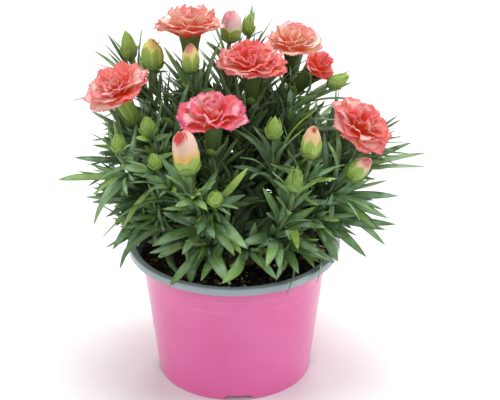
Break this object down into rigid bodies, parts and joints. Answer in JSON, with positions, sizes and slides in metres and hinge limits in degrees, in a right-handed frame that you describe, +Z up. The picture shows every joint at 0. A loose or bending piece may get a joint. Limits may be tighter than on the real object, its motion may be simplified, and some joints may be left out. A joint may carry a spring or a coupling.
{
  "type": "potted dianthus plant",
  "caption": "Pot carnation in flower: coral, pink-edged double blooms and buds over narrow blue-green leaves, in a tapered pink nursery pot with soil.",
  "frame": {"origin": "middle of the pot's underside, on the surface that it stands on", "axes": "+Z up along the pot's axis; -Y is the front that the picture shows"},
  "size_m": [0.2056, 0.165, 0.2197],
  "materials": {
    "pot_plastic": "satin pink moulded plastic with a thin grey rim layer",
    "soil": "moist dark peat with bark bits and perlite",
    "woody_crown": "dull brown-green woody base",
    "calyx": "matt green tube with a waxy bloom",
    "petals": "soft matt coral petals with pink fringed edges and cream undersides",
    "bud_green": "matt light green sepals",
    "bud_petals": "furled peach petals with red tips",
    "foliage": "waxy dark blue-green leaves and stems, some brighter green"
  },
  "bodies": {
    "root": {"pot": "pot_plastic", "potting_soil": "soil", "root_crown": "woody_crown", "calyx_left": "calyx", "calyx_top": "calyx", "calyx_middle": "calyx", "calyx_front": "calyx", "calyx_back_right": "calyx", "calyx_right": "calyx", "calyx_small": "calyx", "petals_left": "petals", "petals_top": "petals", "petals_middle": "petals", "petals_front": "petals", "petals_back_right": "petals", "petals_right": "petals", "petals_small": "petals", "bud_calyx_top_pink": "bud_green", "bud_calyx_yellow": "bud_green", "bud_calyx_upper": "bud_green", "bud_calyx_front_red": "bud_green", "bud_calyx_peach": "bud_green", "bud_calyx_right_low": "bud_green", "bud_petals_top_pink": "bud_petals", "bud_petals_yellow": "bud_petals", "bud_petals_upper": "bud_petals", "bud_petals_front_red": "bud_petals", "bud_petals_peach": "bud_petals", "bud_petals_right_low": "bud_petals", "bud_left_high": "bud_green", "bud_top": "bud_green", "bud_right_high": "bud_green", "bud_centre": "bud_green", "bud_left_mid": "bud_green", "bud_left_low": "bud_green", "bud_left_front": "bud_green", "bud_front_low": "bud_green", "bud_right_front": "bud_green", "bud_back": "bud_green", "flower_stem_left": "foliage", "flower_stem_top": "foliage", "flower_stem_middle": "foliage", "flower_stem_front": "foliage", "flower_stem_back_right": "foliage", "flower_stem_right": "foliage", "flower_stem_small": "foliage", "bud_stem_left": "foliage", "bud_stem_front": "foliage", "bud_stem_right": "foliage", "bud_stem_right_front": "foliage", "bud_stem_back": "foliage", "leaf_shoot_left": "foliage", "leaf_shoot_right": "foliage", "leaf_shoot_front_left": "foliage", "leaf_shoot_front": "foliage", "leaf_shoot_front_right": "foliage", "leaf_shoot_back_right": "foliage", "leaf_shoot_back": "foliage", "leaf_shoot_back_left": "foliage", "leaf_shoot_centre": "foliage"}
  },
  "joints": []
}
